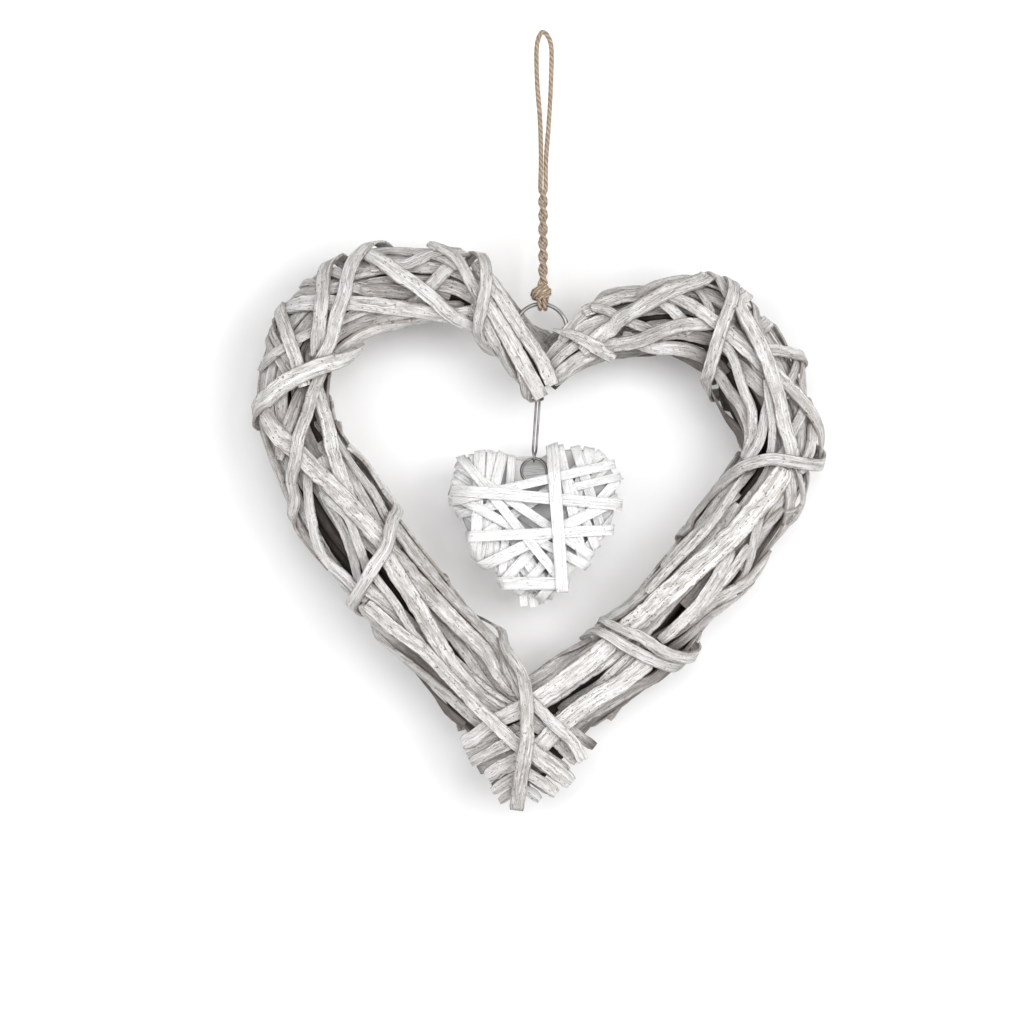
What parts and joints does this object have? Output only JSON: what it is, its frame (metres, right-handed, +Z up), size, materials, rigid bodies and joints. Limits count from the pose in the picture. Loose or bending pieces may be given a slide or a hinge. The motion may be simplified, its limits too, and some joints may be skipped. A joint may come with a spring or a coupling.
{
  "type": "rattan heart wreath",
  "caption": "Hanging heart wreath wound from whitewashed willow strips, with a small white heart on a wire link and a jute loop to hang it by.",
  "frame": {"origin": "where the jute loop hangs: the inside of its top", "axes": "+Z up, the front of the wreath faces -Y, +X to the right seen from the front"},
  "size_m": [0.2788, 0.041, 0.3791],
  "materials": {
    "whitewashed_willow": "split willow under a thin worn whitewash, grey-beige with brown specks",
    "willow_rods": "thin willow rods, grey-brown, a little whitewash",
    "white_willow": "split willow, painted matt white",
    "zinc_wire": "dull zinc-coated wire",
    "jute": "brown jute twine, hairy"
  },
  "bodies": {
    "root": {"cleft_front_strip": "whitewashed_willow", "cleft_inner_strip": "whitewashed_willow", "hanging_ring": "zinc_wire", "jute_knot": "jute", "jute_loop": "jute", "left_arm_broad_strip": "whitewashed_willow", "left_arm_edge_strip": "whitewashed_willow", "left_arm_inner_strip": "whitewashed_willow", "left_arm_light_strip": "whitewashed_willow", "left_arm_long_diagonal": "whitewashed_willow", "left_arm_lower_edge": "whitewashed_willow", "left_arm_lower_strip": "whitewashed_willow", "left_arm_middle_strip": "whitewashed_willow", "left_arm_outer_strip": "whitewashed_willow", "left_arm_tie": "whitewashed_willow", "left_lobe_broad_wrap": "whitewashed_willow", "left_lobe_crown_band": "whitewashed_willow", "left_lobe_falling_band": "whitewashed_willow", "left_lobe_front_wrap": "whitewashed_willow", "left_lobe_inner_band": "whitewashed_willow", "left_lobe_long_band": "whitewashed_willow", "left_lobe_slanting_band": "whitewashed_willow", "left_lobe_upright_band": "whitewashed_willow", "left_rod_bundle": "willow_rods", "left_shoulder_band": "whitewashed_willow", "right_arm_broad_strip": "whitewashed_willow", "right_arm_edge_rod": "whitewashed_willow", "right_arm_inner_strip": "whitewashed_willow", "right_arm_lower_strip": "whitewashed_willow", "right_arm_outer_strip": "whitewashed_willow", "right_arm_tie": "whitewashed_willow", "right_cleft_strip": "whitewashed_willow", "right_lobe_crossing_band": "whitewashed_willow", "right_lobe_high_band": "whitewashed_willow", "right_lobe_inner_edge": "whitewashed_willow", "right_lobe_low_band": "whitewashed_willow", "right_lobe_middle_band": "whitewashed_willow", "right_lobe_upright_wrap": "whitewashed_willow", "right_rod_bundle": "willow_rods", "right_shoulder_corner_wrap": "whitewashed_willow", "right_shoulder_inner_strip": "whitewashed_willow", "right_shoulder_long_strip": "whitewashed_willow", "right_shoulder_outer_strip": "whitewashed_willow", "right_shoulder_tie": "whitewashed_willow", "small_heart_core": "white_willow", "small_heart_foot_band": "white_willow", "small_heart_front_upright": "white_willow", "small_heart_left_fan": "white_willow", "small_heart_left_upright": "white_willow", "small_heart_lower_band": "white_willow", "small_heart_right_upright": "white_willow", "small_heart_ring": "zinc_wire", "small_heart_shoulder_band": "white_willow", "small_heart_slant": "white_willow", "small_heart_upper_band": "white_willow", "tip_left_lower_strip": "whitewashed_willow", "tip_left_upper_strip": "whitewashed_willow", "tip_right_upper_strip": "whitewashed_willow", "tip_tie": "whitewashed_willow", "wire_link": "zinc_wire"}
  },
  "joints": []
}
